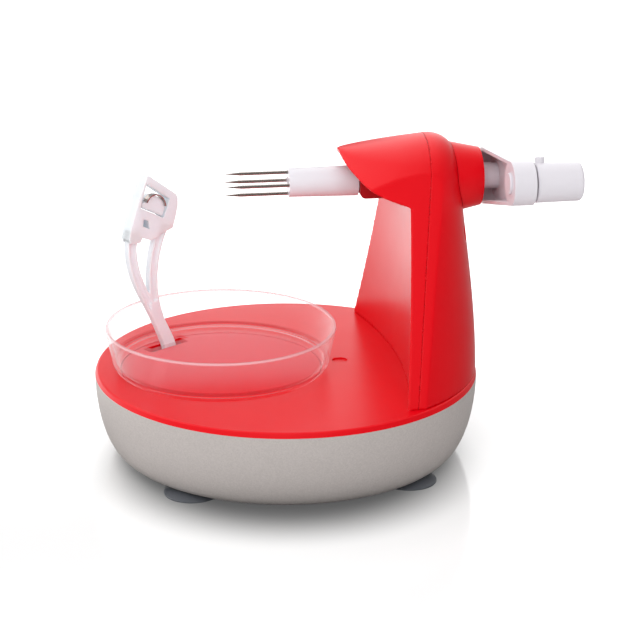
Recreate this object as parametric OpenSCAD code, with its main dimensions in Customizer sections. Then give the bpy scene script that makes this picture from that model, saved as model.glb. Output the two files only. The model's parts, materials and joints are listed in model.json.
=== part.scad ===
// Hand-cranked fruit peeler: a bowl-shaped base on four suction cups carries a
// hooded tower. The crank turns a fork that spins the fruit, and a gear train in
// the tower and base swings a sprung peeling arm round it on a turntable.
// Millimetres, Z up, X along the fork's spindle towards the crank.

/* [Base] */
// Radius of the base at its widest line
base_r = 90; // [87:1:93]
// Height of the silver bowl's top edge above the surface
bowl_top = 39.5; // [38.5:0.5:42]
// Height of the bowl's underside above the surface
bowl_lift = 3; // [2.8:0.1:3.4]
// How far the bowl's flat underside stands in from the widest line
foot_inset = 13; // [12:0.5:15]
// Fullness of the bowl's side curve
bowl_curve = 1.95; // [1.8:0.05:2.2]
// Thickness of the bowl's wall
bowl_wall = 2.2; // [1.8:0.1:2.6]
// Thickness of the lid, which is also the height of its red rim
lid_t = 2.5; // [2.3:0.1:3]
// Radius of the rounding on the lid's rim
lid_round = 1.2; // [0.6:0.1:1.6]
// How far the opening that the bottom plate covers stands in from the widest line
opening_inset = 38; // [36:1:40]
// Thickness of the bottom plate
plate_t = 1.8; // [1.4:0.1:2.1]

/* [Suction cups] */
// Radius of each suction cup at its lip
cup_r = 13; // [11:0.5:14]
// How far the middle of each cup stands in from the base's widest line
cup_inset = 19.3; // [18:0.1:20.5]
// Radius of the posts under the lid
post_r = 4; // [3.4:0.1:4.2]

/* [Tower] */
// Height of the spindle's axis above the lid
spindle_h = 88; // [84:1:92]
// Height of the head's crown above the spindle
crown_rise = 21; // [20:0.5:23]
// Fall of the hood's top line from the crown to its tip
tip_fall = 5.2; // [4:0.2:6]
// How far the back of the tower's foot stands in from the base's widest line
tower_inset = 0.4; // [0.2:0.1:2]
// How far the sides of the tower's foot stand in from that line
side_inset = 5.2; // [4:0.2:7]
// Radius of the tower's round back at the spindle's height
head_r = 38.8; // [38:0.2:40]
// Distance of the hollow front face from the base's widest line
tower_depth = 36; // [35.5:0.5:38]
// Radius of the hollow front face
face_r = 275; // [250:5:320]
// Reach of the hood's tip in front of that face
hood_reach = 30; // [28:0.5:31]
// Wall of the tower's shells
shell_wall = 2.4; // [2:0.1:2.8]

/* [Spindle and fork] */
// Radius of the spindle
spindle_r = 3; // [2.5:0.1:3.2]
// Radius of the white fork sleeve
sleeve_r = 6.6; // [6.2:0.1:7]
// Distance of the sleeve's front end from the base's axis
sleeve_x = 1; // [0:0.5:4]
// Length of the tines that stands out of the sleeve
tine_len = 29; // [24:1:32]
// Radius of each tine
tine_r = 0.8; // [0.6:0.1:0.9]
// Radius of the circle of tines
tine_ring_r = 5; // [4.7:0.1:5.1]

/* [Crank] */
// Distance between the spindle and the knob's stud
crank_len = 54; // [48:1:58]
// Angle of the crank arm above the horizontal, towards the viewer
crank_rise = 11; // [0:1:30]
// Radius of the crank's hub
hub_r = 13.3; // [12:0.1:14]
// Radius of the crank's outer end
crank_end_r = 9.9; // [9:0.1:11]
// Thickness of the crank arm
crank_t = 10; // [9:0.5:11]
// Radius of the knob
knob_r = 8.9; // [8:0.1:9.8]
// Length of the knob
knob_len = 21; // [18:1:26]

/* [Gears] */
// Distance of the drive shaft behind the tower's front face
shaft_in = 14.05; // [13.8:0.05:14.3]
// Teeth of both mitre bevels
bevel_n = 12; // [12:1:12]
// Teeth of the drive shaft's pinion
pinion_n = 12; // [12:1:12]
// Teeth of the idler's large wheel
idler_big_n = 58; // [58:1:58]
// Teeth of the idler's small wheel
idler_small_n = 16; // [16:1:16]
// Teeth of the ring gear under the turntable
ring_n = 70; // [70:1:70]
// Gap between meshing tooth flanks, taken off each tooth
backlash = 0.2; // [0.15:0.01:0.25]

/* [Turntable and dish] */
// Distance of the turntable's axis from the base's axis
table_off = 30.7; // [29:0.1:31]
// Radius of the turntable
table_r = 47; // [46:0.5:47.5]
// Radius of the dish at its rim
dish_rim_r = 54.2; // [52:0.2:56]
// Radius of the dish's flat foot
dish_foot_r = 46; // [45:0.5:46.5]
// Height of the dish
dish_h = 20.5; // [17:0.5:24]
// Wall of the dish
dish_wall = 1.6; // [1.2:0.1:2.2]

/* [Peeling arm] */
// Direction of the arm's slot about the turntable's axis at rest
arm_angle = 125.4; // [120:0.2:130]
// Distance of the arm's inner face from the turntable's axis
arm_rho = 37.05; // [36.6:0.05:37.6]
// Thickness of the arm
arm_t = 3.5; // [3:0.1:3.8]
// Width of the arm's foot
arm_w = 8.6; // [7.6:0.2:9.4]
// Length of the slot that the arm stands in
slot_len = 23.6; // [22:0.2:25]
// Width of that slot
slot_w = 6.4; // [6.2:0.1:6.8]
// Depth of the arm's pin below the turntable's top
pin_drop = 9; // [8.6:0.1:9.4]
// Radius of the arm's pin
pin_r = 1.5; // [1.3:0.1:1.8]
// Thickness of the peeler head
head_t = 6; // [5.6:0.1:6.6]

/* [Hidden] */

// Facets of round parts and of the hulled shells
$fn = 64;
HULL_FN = 48;

// Clearances: between still parts, between turning parts, and of a running bore
GAP = 0.3;
SLIP = 0.15;
RUN = 0.05;
EPS = 0.01;

// Places that follow the base's widest line
foot_r = base_r - foot_inset;
floor_opening_r = base_r - opening_inset;
cup_pitch_r = base_r - cup_inset;
tower_foot_r = base_r - side_inset;
foot_back = base_r - tower_inset;
foot_mid = foot_back - tower_foot_r;
face_x = base_r - tower_depth;
tip_x = face_x - hood_reach;

// Heights
lid_top = bowl_top + lid_t;
spindle_z = lid_top + spindle_h;
crown_z = spindle_z + crown_rise;
floor_t = 3.6;
floor_top = bowl_lift + floor_t;
plate_r = floor_opening_r + 10;

// Gear centres along X, whose distance apart sets the tooth module of all the gears
table_x = -table_off;
shaft_x = face_x + shaft_in;
gear_m = 2 * (shaft_x - table_x) / (ring_n + idler_small_n + idler_big_n + pinion_n);
idler_x = table_x + gear_m * (ring_n + idler_small_n) / 2;

// Levels of the gear train in the base
BIG_Z = floor_top + 3.9;
BIG_T = 5;
RING_Z = BIG_Z + BIG_T + 2;
RING_T = 5;
HUB_T = 6.6;
clutch_z = RING_Z + HUB_T + RUN;
CLUTCH_T = 1.35;
hub_z = clutch_z + CLUTCH_T;
TABLE_T = 2.9;
table_top = lid_top - 0.1;
table_bottom = table_top - TABLE_T;

// Axles
axle_r = 5;
idler_axle_r = 2.5;
drive_r = 3;

// Mitre bevels, whose cones meet where the spindle crosses the drive shaft
bevel_r = gear_m * bevel_n / 2;
BEVEL_FACE = 3;
bevel_end_scale = 1 - BEVEL_FACE / bevel_r;

// Positions along the spindle
block_x0 = tip_x + 9.5;
block_x1 = face_x;
BLOCK_W = 18;
BLOCK_BELOW = 6.6;
BLOCK_ABOVE = 11;
BLOCK_ROUND = 2.5;
bush_r = spindle_r + 2.2;
neck_r = bush_r + 1.1;
neck_x0 = shaft_x + bevel_r + 0.5;
bush_x0 = shaft_x + bevel_r - 1.2;
collar_x0 = face_x + 23;
collar_x1 = collar_x0 + 13.5;
crank_x0 = collar_x1 + 1.8;
crank_x1 = crank_x0 + crank_t;
knob_x0 = crank_x1 + 0.9;
knob_x1 = knob_x0 + knob_len;
stud_r = 2.8;

// The bounding box is centred on the origin along X
base_x = -(knob_x1 - base_r) / 2;

// Arm, in the plane that touches a circle round the turntable's axis
arm_out = arm_rho + arm_t;
arm_mid = arm_rho + arm_t / 2;
pin_z = table_top - pin_drop;
EYE_R = 4;
LUG_T = 2;
LUG_OUT = 8.6;
head_out = arm_mid + head_t / 2;
FOOT_T = 0.9;

// Tilt of the blade and of its carrier's pins in the arm's plane
BLADE_TILT = -34;
CARRIER_AT = [-8.6, 114.9];
TRUNNION_R = 0.8;

// Colours
RED = "#e2001a";
DARK_RED = "#b80015";
SILVER = "#c4bdbb";
CUP_GREY = "#4b5058";
WHITE = "#f1eef2";
STEEL = "#b9bcc0";
BRASS = "#c9a45c";
POM = "#e8e2d2";
CLEAR = [0.95, 0.97, 0.98, 0.35];

// Shared helpers

module place() {
  translate([base_x, 0, 0]) children();
}

module at_table() {
  place() translate([table_x, 0, 0]) children();
}

module at_arm() {
  at_table() rotate([0, 0, arm_angle]) children();
}

// Draws a flat outline of (t, z) in the arm's plane, from outer_rho inwards
module in_arm_plane(outer_rho, depth) {
  at_arm() translate([outer_rho, 0, 0]) rotate([90, 0, -90]) linear_extrude(depth) children();
}

module along_x(x0, x1, r, z = spindle_z) {
  translate([x0, 0, z]) rotate([0, 90, 0]) cylinder(h = x1 - x0, r = r);
}

module ring(r_out, r_in, h) {
  difference() {
    cylinder(h = h, r = r_out);
    translate([0, 0, -1]) cylinder(h = h + 2, r = r_in);
  }
}

function bezier(p, t) =
  p[0] * pow(1 - t, 3) + p[1] * 3 * t * pow(1 - t, 2) + p[2] * 3 * t * t * (1 - t) + p[3] * pow(t, 3);
function bezier_dir(p, t) =
  (p[1] - p[0]) * pow(1 - t, 2) + (p[2] - p[1]) * 2 * t * (1 - t) + (p[3] - p[2]) * t * t;
function side_step(v, d) = [-v[1], v[0]] * d / norm(v);

// A strip of changing width along a Bezier curve
module strip(p, w0, w1, steps = 9) {
  ts = [for (i = [0:steps]) i / steps];
  left = [for (t = ts) bezier(p, t) + side_step(bezier_dir(p, t), (w0 + (w1 - w0) * t) / 2)];
  right = [for (t = ts) bezier(p, t) - side_step(bezier_dir(p, t), (w0 + (w1 - w0) * t) / 2)];
  polygon(concat(left, [for (i = [steps:-1:0]) right[i]]));
}

// Involute gear outlines

PRESSURE = 25;
ADDENDUM = 0.8;
DEDENDUM = 1.05;
FLANK_STEPS = 3;

function inv_angle(r, rb) = (sqrt(pow(r / rb, 2) - 1) - acos(rb / r) * PI / 180) * 180 / PI;

// Angle from a tooth's middle to its flank at radius r
function half_tooth(r, rp, rb, n) =
  90 / n - backlash / (2 * rp) * 180 / PI + inv_angle(rp, rb) - inv_angle(max(r, rb), rb);

function gear_points(n) =
  let (rp = gear_m * n / 2, rb = rp * cos(PRESSURE), ra = rp + ADDENDUM * gear_m,
       rd = rp - DEDENDUM * gear_m, r0 = max(rd, rb),
       rs = [for (k = [0:FLANK_STEPS]) r0 + (ra - r0) * k / FLANK_STEPS])
  [for (i = [0:n - 1])
    let (mid = 360 * i / n, foot = half_tooth(r0, rp, rb, n))
    each concat(
      [[rd * cos(mid - foot - 1 / n), rd * sin(mid - foot - 1 / n)]],
      [for (r = rs) let (a = mid - half_tooth(r, rp, rb, n)) [r * cos(a), r * sin(a)]],
      [for (k = [FLANK_STEPS:-1:0])
        let (r = rs[k], a = mid + half_tooth(r, rp, rb, n)) [r * cos(a), r * sin(a)]],
      [[rd * cos(mid + foot + 1 / n), rd * sin(mid + foot + 1 / n)]])];

module spur(n, h, phase = 0) {
  rotate([0, 0, phase]) linear_extrude(h) polygon(gear_points(n));
}

// Half of a mitre pair, large end down, its cone's point bevel_r above
module mitre(phase, bore_r, hub_len) {
  difference() {
    union() {
      rotate([0, 0, phase]) linear_extrude(BEVEL_FACE, scale = bevel_end_scale) polygon(gear_points(bevel_n));
      translate([0, 0, -hub_len]) cylinder(h = hub_len + EPS, r = bevel_r * 0.68);
    }
    translate([0, 0, -5]) cylinder(h = BEVEL_FACE + 6, r = bore_r);
  }
}

// Screw with a pan head, head down, its seat at z = 0
module pan_screw(len, r, head_r, head_h = 2) {
  cylinder(h = len, r = r);
  translate([0, 0, -head_h]) cylinder(h = head_h + EPS, r = head_r);
}

// Base

BOWL_STEPS = 14;
bowl_h = bowl_top - bowl_lift;

// Outer curve of the bowl from its rim down to its flat underside
function bowl_point(a, r, h, z1) =
  [foot_r + (r - foot_r) * pow(cos(a), 2 / bowl_curve), z1 - h * pow(sin(a), 2 / bowl_curve)];

module bowl_section() {
  outer = [for (i = [0:BOWL_STEPS]) bowl_point(90 * i / BOWL_STEPS, base_r, bowl_h, bowl_top)];
  inner = [for (i = [BOWL_STEPS:-1:0])
    bowl_point(90 * i / BOWL_STEPS, base_r - bowl_wall, bowl_h - floor_t, bowl_top)];
  polygon(concat(outer, [[floor_opening_r, bowl_lift], [floor_opening_r, floor_top]], inner));
}

module each_cup() {
  for (a = [45:90:315]) rotate([0, 0, a]) translate([cup_pitch_r, 0, 0]) children();
}

module each_plate_screw() {
  for (a = [0:90:270]) rotate([0, 0, a]) translate([(floor_opening_r + plate_r) / 2, 0, 0]) children();
}

CUP_NECK_R = 4.5;
CUP_SEAT = 1.8;
BOSS_TOP = 10.5;
SCREW_R = 1.5;
SHAFT_BOSS_R = 6;

module base_bowl() {
  color(SILVER) place() difference() {
    union() {
      rotate_extrude() bowl_section();
      each_cup() translate([0, 0, bowl_lift + 1.2]) cylinder(h = BOSS_TOP - bowl_lift - 1.2, r = 6);
      translate([shaft_x, 0, bowl_lift + 2]) cylinder(h = BIG_Z - 2.8 - bowl_lift, r = SHAFT_BOSS_R);
    }
    translate([0, 0, bowl_lift - 1]) cylinder(h = plate_t + 1 + SLIP, r = plate_r + SLIP);
    each_cup() translate([0, 0, bowl_lift - 2]) cylinder(h = CUP_SEAT + 2, r = CUP_NECK_R + SLIP);
    each_cup() cylinder(h = BOSS_TOP + 1, r = SCREW_R + SLIP);
    each_plate_screw() cylinder(h = floor_top - 0.8, r = SCREW_R);
    translate([shaft_x, 0, floor_top - 0.8]) cylinder(h = BIG_Z, r = drive_r + RUN);
  }
}

module bottom_plate() {
  color(DARK_RED) place() difference() {
    union() {
      translate([0, 0, bowl_lift]) cylinder(h = plate_t, r = plate_r);
      translate([0, 0, bowl_lift + EPS]) cylinder(h = floor_t - EPS, r = floor_opening_r - GAP);
      translate([table_x, 0, bowl_lift + 1]) cylinder(h = floor_t, r = axle_r + 5);
      translate([idler_x, 0, bowl_lift + 1]) cylinder(h = floor_t, r = idler_axle_r + 4);
    }
    each_plate_screw() translate([0, 0, -1]) cylinder(h = floor_top + 2, r = SCREW_R + SLIP);
    translate([table_x, 0, bowl_lift + 1]) cylinder(h = floor_top, r = axle_r);
    translate([idler_x, 0, bowl_lift + 1]) cylinder(h = floor_top, r = idler_axle_r);
  }
}

module plate_screws() {
  color(STEEL) place() each_plate_screw() translate([0, 0, bowl_lift - EPS])
    pan_screw(floor_t - 1.2, SCREW_R - SLIP, 2.8, 1.4);
}

CUP_RECESS_R = 3.5;
CUP_RECESS_Z = 2.8;
HEAD_H = 1.5;

module suction_cup(side) {
  color(CUP_GREY) place() rotate([0, 0, side]) translate([cup_pitch_r, 0, 0]) rotate_extrude() polygon([
    [SCREW_R + SLIP, CUP_RECESS_Z], [CUP_RECESS_R, CUP_RECESS_Z], [CUP_RECESS_R, 1],
    [cup_r * 0.62, 0.8], [cup_r * 0.8, 0], [cup_r, 0], [cup_r, 0.7], [cup_r * 0.8, 1.7],
    [cup_r * 0.5, bowl_lift - GAP - 0.1], [CUP_NECK_R, bowl_lift - GAP],
    [CUP_NECK_R, bowl_lift + CUP_SEAT], [SCREW_R + SLIP, bowl_lift + CUP_SEAT]]);
}

module suction_cup_front_left() { suction_cup(225); }
module suction_cup_front_right() { suction_cup(315); }
module suction_cup_back_left() { suction_cup(135); }
module suction_cup_back_right() { suction_cup(45); }

POST_SCREW_TOP = 30;

module lid_screws() {
  color(STEEL) place() each_cup() translate([0, 0, CUP_RECESS_Z])
    pan_screw(POST_SCREW_TOP - CUP_RECESS_Z, SCREW_R, CUP_RECESS_R - GAP, HEAD_H);
}

// Lid

SPIGOT_H = 4;
BOSS_R = 5;
BOSS_Y = 45.5;
boss_pitch = tower_foot_r - shell_wall - BOSS_R + 0.6;
TOWER_SCREW_AT = [foot_mid + sqrt(pow(boss_pitch, 2) - pow(BOSS_Y, 2)), BOSS_Y];
DIMPLE_AT = [face_x - 28, 0];
DIMPLE_R = 3.6;
SHAFT_HOLE_R = 9.5;

module lid_section() {
  round_pts = [for (a = [0:22.5:90])
    [base_r - lid_round + lid_round * cos(a) - (lid_t - lid_round) * 0.4,
     lid_top - lid_round + lid_round * sin(a)]];
  spigot_r = base_r - bowl_wall - GAP;
  polygon(concat([[0, bowl_top], [spigot_r - bowl_wall, bowl_top],
    [spigot_r - bowl_wall, bowl_top - SPIGOT_H], [spigot_r - 1.2, bowl_top - SPIGOT_H],
    [spigot_r - 0.6, bowl_top], [base_r, bowl_top]], round_pts, [[0, lid_top]]));
}

module top_lid() {
  color(RED) place() difference() {
    union() {
      rotate_extrude() lid_section();
      each_cup() translate([0, 0, BOSS_TOP + 0.1]) cylinder(h = bowl_top - BOSS_TOP, r = post_r);
    }
    translate([table_x, 0, bowl_top - 1]) cylinder(h = lid_t + 2, r = table_r + 0.4);
    each_cup() translate([0, 0, BOSS_TOP - 1])
      cylinder(h = POST_SCREW_TOP - BOSS_TOP + 2, r = SCREW_R + SLIP);
    translate([shaft_x, 0, bowl_top - 1]) cylinder(h = lid_t + 2, r = SHAFT_HOLE_R);
    for (s = [-1, 1]) translate([TOWER_SCREW_AT[0], s * TOWER_SCREW_AT[1], bowl_top - 1])
      cylinder(h = lid_t + 2, r = SCREW_R + SLIP);
    translate([DIMPLE_AT[0], DIMPLE_AT[1], lid_top - 0.7]) cylinder(h = 1, r = DIMPLE_R);
  }
}

// Tower. Its round back is a stack of circles, and its head a row of upright ribs
// that run from the nose along the crown and down the shoulder to the back.

SLICE = 0.02;
BACK_STEPS = 8;
BACK_FALL = 9;

// Back and radius of the circle at a share t of the spindle's height
function back_at(t) = foot_back - BACK_FALL * (5 * t * t - 2 * t * t * t) / 3;
function back_radius(t) = tower_foot_r + (head_r - tower_foot_r) * (4 * t - t * t) / 3;

HEAD_BULGE = 1.08;
NOSE_STEP = 12;
SHOULDER_STEP = 15;
SHOULDER_LEN = 12;
SHOULDER_FALL = 11;
nose_mid = face_x - 4;
ridge_x = face_x + 13;
head_mid = back_at(1) - head_r;

function rib_r(x) = HEAD_BULGE * sqrt(pow(head_r, 2) - pow(x - head_mid, 2));
function crown_at(x) = crown_z - tip_fall * (ridge_x - x) / (ridge_x - tip_x);

module rib(x, top, r, inset) {
  translate([x, 0, top - r]) rotate([0, 90, 0]) cylinder(h = SLICE, r = max(r - inset, SLICE), $fn = HULL_FN);
}

module nose_ribs(inset) {
  for (a = [NOSE_STEP / 3:NOSE_STEP:89]) {
    x = nose_mid - (nose_mid - tip_x - inset) * cos(a);
    rib(x, crown_at(x), rib_r(nose_mid) * sin(a), inset);
  }
}

module crown_ribs(inset) {
  for (x = [nose_mid, (nose_mid + ridge_x) / 2, ridge_x]) rib(x, crown_at(x), rib_r(x), inset);
}

module shoulder_ribs(inset) {
  for (a = [SHOULDER_STEP:SHOULDER_STEP:89]) {
    x = ridge_x + SHOULDER_LEN * sin(a);
    rib(x - inset * sin(a), crown_z - SHOULDER_FALL * (1 - cos(a)), rib_r(x), inset);
  }
}

// The whole outside of the tower, or its inside when inset by a wall
module tower_form(inset) {
  hull() {
    for (t = [0:1 / BACK_STEPS:1])
      translate([back_at(t) - back_radius(t), 0, lid_top + t * spindle_h])
        cylinder(h = SLICE, r = back_radius(t) - inset, $fn = HULL_FN * 1.5);
    nose_ribs(inset);
    crown_ribs(inset);
    shoulder_ribs(inset);
  }
}

module face_cylinder(grow) {
  translate([face_x - face_r, 0, 0]) cylinder(h = crown_z + 20, r = face_r + grow, $fn = 360);
}

// Curve of the hood's lip in the side view, from its tip to the front face
LIP_STEPS = 10;
LIP = [[tip_x - 0.05, spindle_z + 15.4], [tip_x + 1.1, spindle_z + 7.1],
  [face_x - 16.1, spindle_z - 1.4], [face_x, spindle_z - 5.6]];

// Side view of the space under that lip
module under_hood() {
  rotate([90, 0, 0]) translate([0, 0, -100]) linear_extrude(200) polygon(concat(
    [[-base_r, crown_z + 1], [-base_r, lid_top - 5], [face_x + 6, lid_top - 5], [face_x + 6, LIP[3][1] - 2]],
    [for (i = [LIP_STEPS:-1:0]) bezier(LIP, i / LIP_STEPS)],
    [[tip_x - 12, crown_z + 1]]));
}

// Flat strips on both sides between the front edge and the ridge, which run out in the head
STRIP_TURN = -7;
STRIP_AT = face_x - 7;
STRIP_SINK = 3.35;
STRIP_HEAD_Y = 32.5;
strip_y = sqrt(pow(tower_foot_r, 2) - pow(STRIP_AT - foot_mid, 2)) - STRIP_SINK;
strip_lean = atan((strip_y - STRIP_HEAD_Y) / spindle_h);

module side_strips(inset) {
  for (s = [0, 1]) mirror([0, s, 0])
    translate([STRIP_AT, strip_y, lid_top]) rotate([0, 0, STRIP_TURN]) rotate([strip_lean, 0, 0])
      translate([-60, -inset, -30]) cube([130, 60, 40 + (crown_z - lid_top) / cos(strip_lean)]);
}

PARTING_FRONT = 4;
PARTING_LEAN = 7.5;

// The front shell's side of the joint: a leaning plane, and the whole front wall
module front_of_parting() {
  translate([face_x - PARTING_FRONT, 0, lid_top]) rotate([0, PARTING_LEAN, 0])
    translate([-200, -100, -60]) cube([200, 200, 240]);
  face_cylinder(shell_wall + SLIP);
}

module tower_outside() {
  difference() {
    tower_form(0);
    intersection() {
      face_cylinder(0);
      under_hood();
    }
    side_strips(0);
  }
}

// Hollow inside, which leaves the front wall standing up into the hood
module tower_inside() {
  difference() {
    tower_form(shell_wall);
    difference() {
      face_cylinder(shell_wall);
      face_cylinder(0);
    }
    side_strips(shell_wall);
  }
}

module tower_front_shell() {
  color(RED) place() difference() {
    intersection() {
      tower_outside();
      front_of_parting();
    }
    tower_inside();
    along_x(block_x1 - 5, block_x1 + 8, spindle_r + 2);
  }
}

BACK_SLOT_AT = 64.5;
BACK_SLOT_TURN = 17;
BACK_SLOT_W = 5;
BACK_SLOT_H = 6.4;
SCREW_BOSS_H = 11;

// The pair of slots in the rear shell's back
module back_slots() {
  share = BACK_SLOT_AT / spindle_h;
  for (s = [-1, 1]) translate([back_at(share) - back_radius(share), 0, lid_top + BACK_SLOT_AT])
    rotate([0, 0, s * BACK_SLOT_TURN]) translate([back_radius(share) - 8, -BACK_SLOT_W / 2, -BACK_SLOT_H / 2])
      cube([16, BACK_SLOT_W, BACK_SLOT_H]);
}

module tower_rear_shell() {
  color(RED) place() difference() {
    union() {
      difference() {
        tower_outside();
        front_of_parting();
        tower_inside();
      }
      intersection() {
        tower_form(shell_wall / 2);
        for (s = [-1, 1]) translate([TOWER_SCREW_AT[0], s * TOWER_SCREW_AT[1], lid_top])
          cylinder(h = SCREW_BOSS_H, r = BOSS_R);
      }
    }
    along_x(shaft_x, collar_x1, neck_r + SLIP);
    back_slots();
    for (s = [-1, 1]) translate([TOWER_SCREW_AT[0], s * TOWER_SCREW_AT[1], lid_top - 1])
      cylinder(h = SCREW_BOSS_H - 1, r = SCREW_R);
  }
}

module tower_screws() {
  color(STEEL) place() for (s = [-1, 1])
    translate([TOWER_SCREW_AT[0], s * TOWER_SCREW_AT[1], bowl_top - EPS])
      pan_screw(SCREW_BOSS_H - 1, SCREW_R - SLIP, 2.8);
}

COLLAR_R0 = 17.2;
COLLAR_R1 = 13.6;

// The cone on the tower's back that holds the rear bush
module rear_collar() {
  color(RED) place() difference() {
    union() {
      translate([collar_x0 - 3, 0, spindle_z]) rotate([0, 90, 0])
        cylinder(h = collar_x1 - collar_x0 + 3, r1 = COLLAR_R0, r2 = COLLAR_R1);
      along_x(neck_x0, collar_x1, neck_r);
    }
    difference() {
      tower_form(-SLIP);
      along_x(neck_x0 - 1, collar_x1, neck_r);
    }
    along_x(neck_x0 - 1, collar_x1 + 1, bush_r);
  }
}

// Bearings and brackets

module front_bearing_block() {
  z0 = spindle_z - BLOCK_BELOW;
  len = block_x1 - block_x0 + 6;
  color(DARK_RED) place() difference() {
    intersection() {
      translate([block_x0, -BLOCK_W / 2, z0]) {
        translate([BLOCK_ROUND, 0, 0]) cube([len - BLOCK_ROUND, BLOCK_W, BLOCK_BELOW + BLOCK_ABOVE]);
        translate([0, 0, BLOCK_ROUND]) cube([len, BLOCK_W, BLOCK_BELOW + BLOCK_ABOVE - BLOCK_ROUND]);
        translate([BLOCK_ROUND, BLOCK_W, BLOCK_ROUND]) rotate([90, 0, 0])
          cylinder(h = BLOCK_W, r = BLOCK_ROUND);
      }
      face_cylinder(-EPS);
    }
    along_x(block_x0 - 1, block_x1 + 8, bush_r);
  }
}

module front_bush() {
  color(BRASS) place() difference() {
    along_x(block_x0, block_x1 - 0.5, bush_r);
    along_x(block_x0 - 1, block_x1 + 1, spindle_r + RUN);
  }
}

module rear_bush() {
  color(BRASS) place() difference() {
    along_x(bush_x0, collar_x1, bush_r);
    along_x(bush_x0 - 1, collar_x1 + 1, spindle_r + RUN);
  }
}

BRACKET_Z = 20;
BRACKET_T = 4;

// Shelf behind the front wall that steadies the top of the drive shaft
module gear_bracket() {
  x0 = face_x + shell_wall + GAP;
  z0 = spindle_z - BRACKET_Z;
  color(DARK_RED) place() difference() {
    union() {
      translate([x0, -13, z0 - BRACKET_T]) cube([shaft_x - x0, 26, BRACKET_T]);
      translate([x0, -13, z0 - 14]) cube([3, 26, 14]);
      translate([shaft_x, 0, z0 - BRACKET_T]) cylinder(h = BRACKET_T, r = 8);
    }
    translate([shaft_x, 0, z0 - 20]) cylinder(h = 30, r = drive_r + RUN);
  }
}

module turntable_axle() {
  color(STEEL) at_table() {
    translate([0, 0, bowl_lift + 1]) cylinder(h = table_bottom - 2 - bowl_lift - 1, r = axle_r);
    translate([0, 0, floor_top + 1]) cylinder(h = RING_Z - 1.5 - floor_top - 1 - RUN, r = axle_r + 3);
  }
}

module idler_axle() {
  color(STEEL) place() translate([idler_x, 0, 0]) {
    translate([0, 0, bowl_lift + 1]) cylinder(h = RING_Z + 8.6 - bowl_lift - 1, r = idler_axle_r);
    translate([0, 0, floor_top + 1]) cylinder(h = BIG_Z - 0.1 - floor_top - 1, r = idler_axle_r + 2);
  }
}

// Spindle and fork

module spindle() {
  color(STEEL) place() difference() {
    along_x(sleeve_x + 17, crank_x1 - 3, spindle_r);
    translate([crank_x0 + 0.5, -spindle_r, spindle_z + spindle_r * 0.65])
      cube([crank_t, 2 * spindle_r, spindle_r]);
    along_x(crank_x1 - 9, crank_x1, 1.25);
  }
}

FIRST_TINE = -1;
TINE_SEAT = 13;
TINE_POINT = 7;

// Places its children at each of the four tines
module each_tine() {
  for (a = [FIRST_TINE:90:FIRST_TINE + 270])
    translate([0, 0, spindle_z]) rotate([a, 0, 0]) translate([0, 0, tine_ring_r]) children();
}

module fork_sleeve() {
  color(WHITE) place() difference() {
    union() {
      translate([sleeve_x, 0, spindle_z]) rotate([0, 90, 0])
        cylinder(h = block_x0 - GAP - sleeve_x, r1 = sleeve_r, r2 = sleeve_r + 0.5);
    }
    along_x(sleeve_x + 17, block_x0 + 1, spindle_r);
    each_tine() translate([sleeve_x - 1, 0, 0]) rotate([0, 90, 0])
      cylinder(h = TINE_SEAT + 1, r = tine_r, $fn = 24);
    translate([sleeve_x - 0.5, 0, spindle_z]) rotate([0, 90, 0]) cylinder(h = 1.3, r = 2.6);
  }
}

module fork_tines() {
  color(STEEL) place() each_tine() {
    translate([sleeve_x - tine_len + TINE_POINT, 0, 0]) rotate([0, 90, 0])
      cylinder(h = tine_len - TINE_POINT + TINE_SEAT, r = tine_r, $fn = 24);
    translate([sleeve_x - tine_len, 0, 0]) rotate([0, 90, 0])
      cylinder(h = TINE_POINT + EPS, r1 = 0.1, r2 = tine_r, $fn = 24);
  }
}

module spindle_bevel() {
  color(POM) place() translate([shaft_x - bevel_r, 0, spindle_z]) rotate([0, 90, 0])
    mitre(180 / bevel_n, spindle_r, 1.5);
}

// Drive shaft

module drive_shaft() {
  color(STEEL) place() translate([shaft_x, 0, floor_top - 0.6])
    cylinder(h = spindle_z - spindle_r - 1 - floor_top, r = drive_r);
}

module shaft_bevel() {
  color(POM) place() translate([shaft_x, 0, spindle_z - bevel_r]) mitre(0, drive_r, 4);
}

module shaft_pinion() {
  color(POM) place() translate([shaft_x, 0, 0]) difference() {
    union() {
      translate([0, 0, BIG_Z - 0.5]) spur(pinion_n, BIG_T + 1.5, 180 / pinion_n);
      translate([0, 0, BIG_Z + BIG_T + 1]) cylinder(h = 4, r = 5.5);
    }
    translate([0, 0, BIG_Z - 2]) cylinder(h = BIG_T + 12, r = drive_r);
  }
}

module each_spoke(count) {
  for (a = [0:360 / count:359]) rotate([0, 0, a + 180 / count]) children();
}

WINDOWS = 5;

module idler_gear() {
  web_r = gear_m * idler_big_n / 2 - 5;
  window_r = (web_r - 14) / 2;
  color(POM) place() translate([idler_x, 0, 0]) difference() {
    union() {
      translate([0, 0, BIG_Z]) spur(idler_big_n, BIG_T, 0);
      translate([0, 0, BIG_Z + BIG_T - EPS])
        spur(idler_small_n, RING_Z + RING_T + 1.5 - BIG_Z - BIG_T, 180 / idler_small_n);
    }
    translate([0, 0, BIG_Z - 1]) cylinder(h = 40, r = idler_axle_r + RUN);
    each_spoke(WINDOWS) translate([14 + window_r, 0, BIG_Z - 1]) cylinder(h = BIG_T + 2, r = window_r);
  }
}

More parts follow.
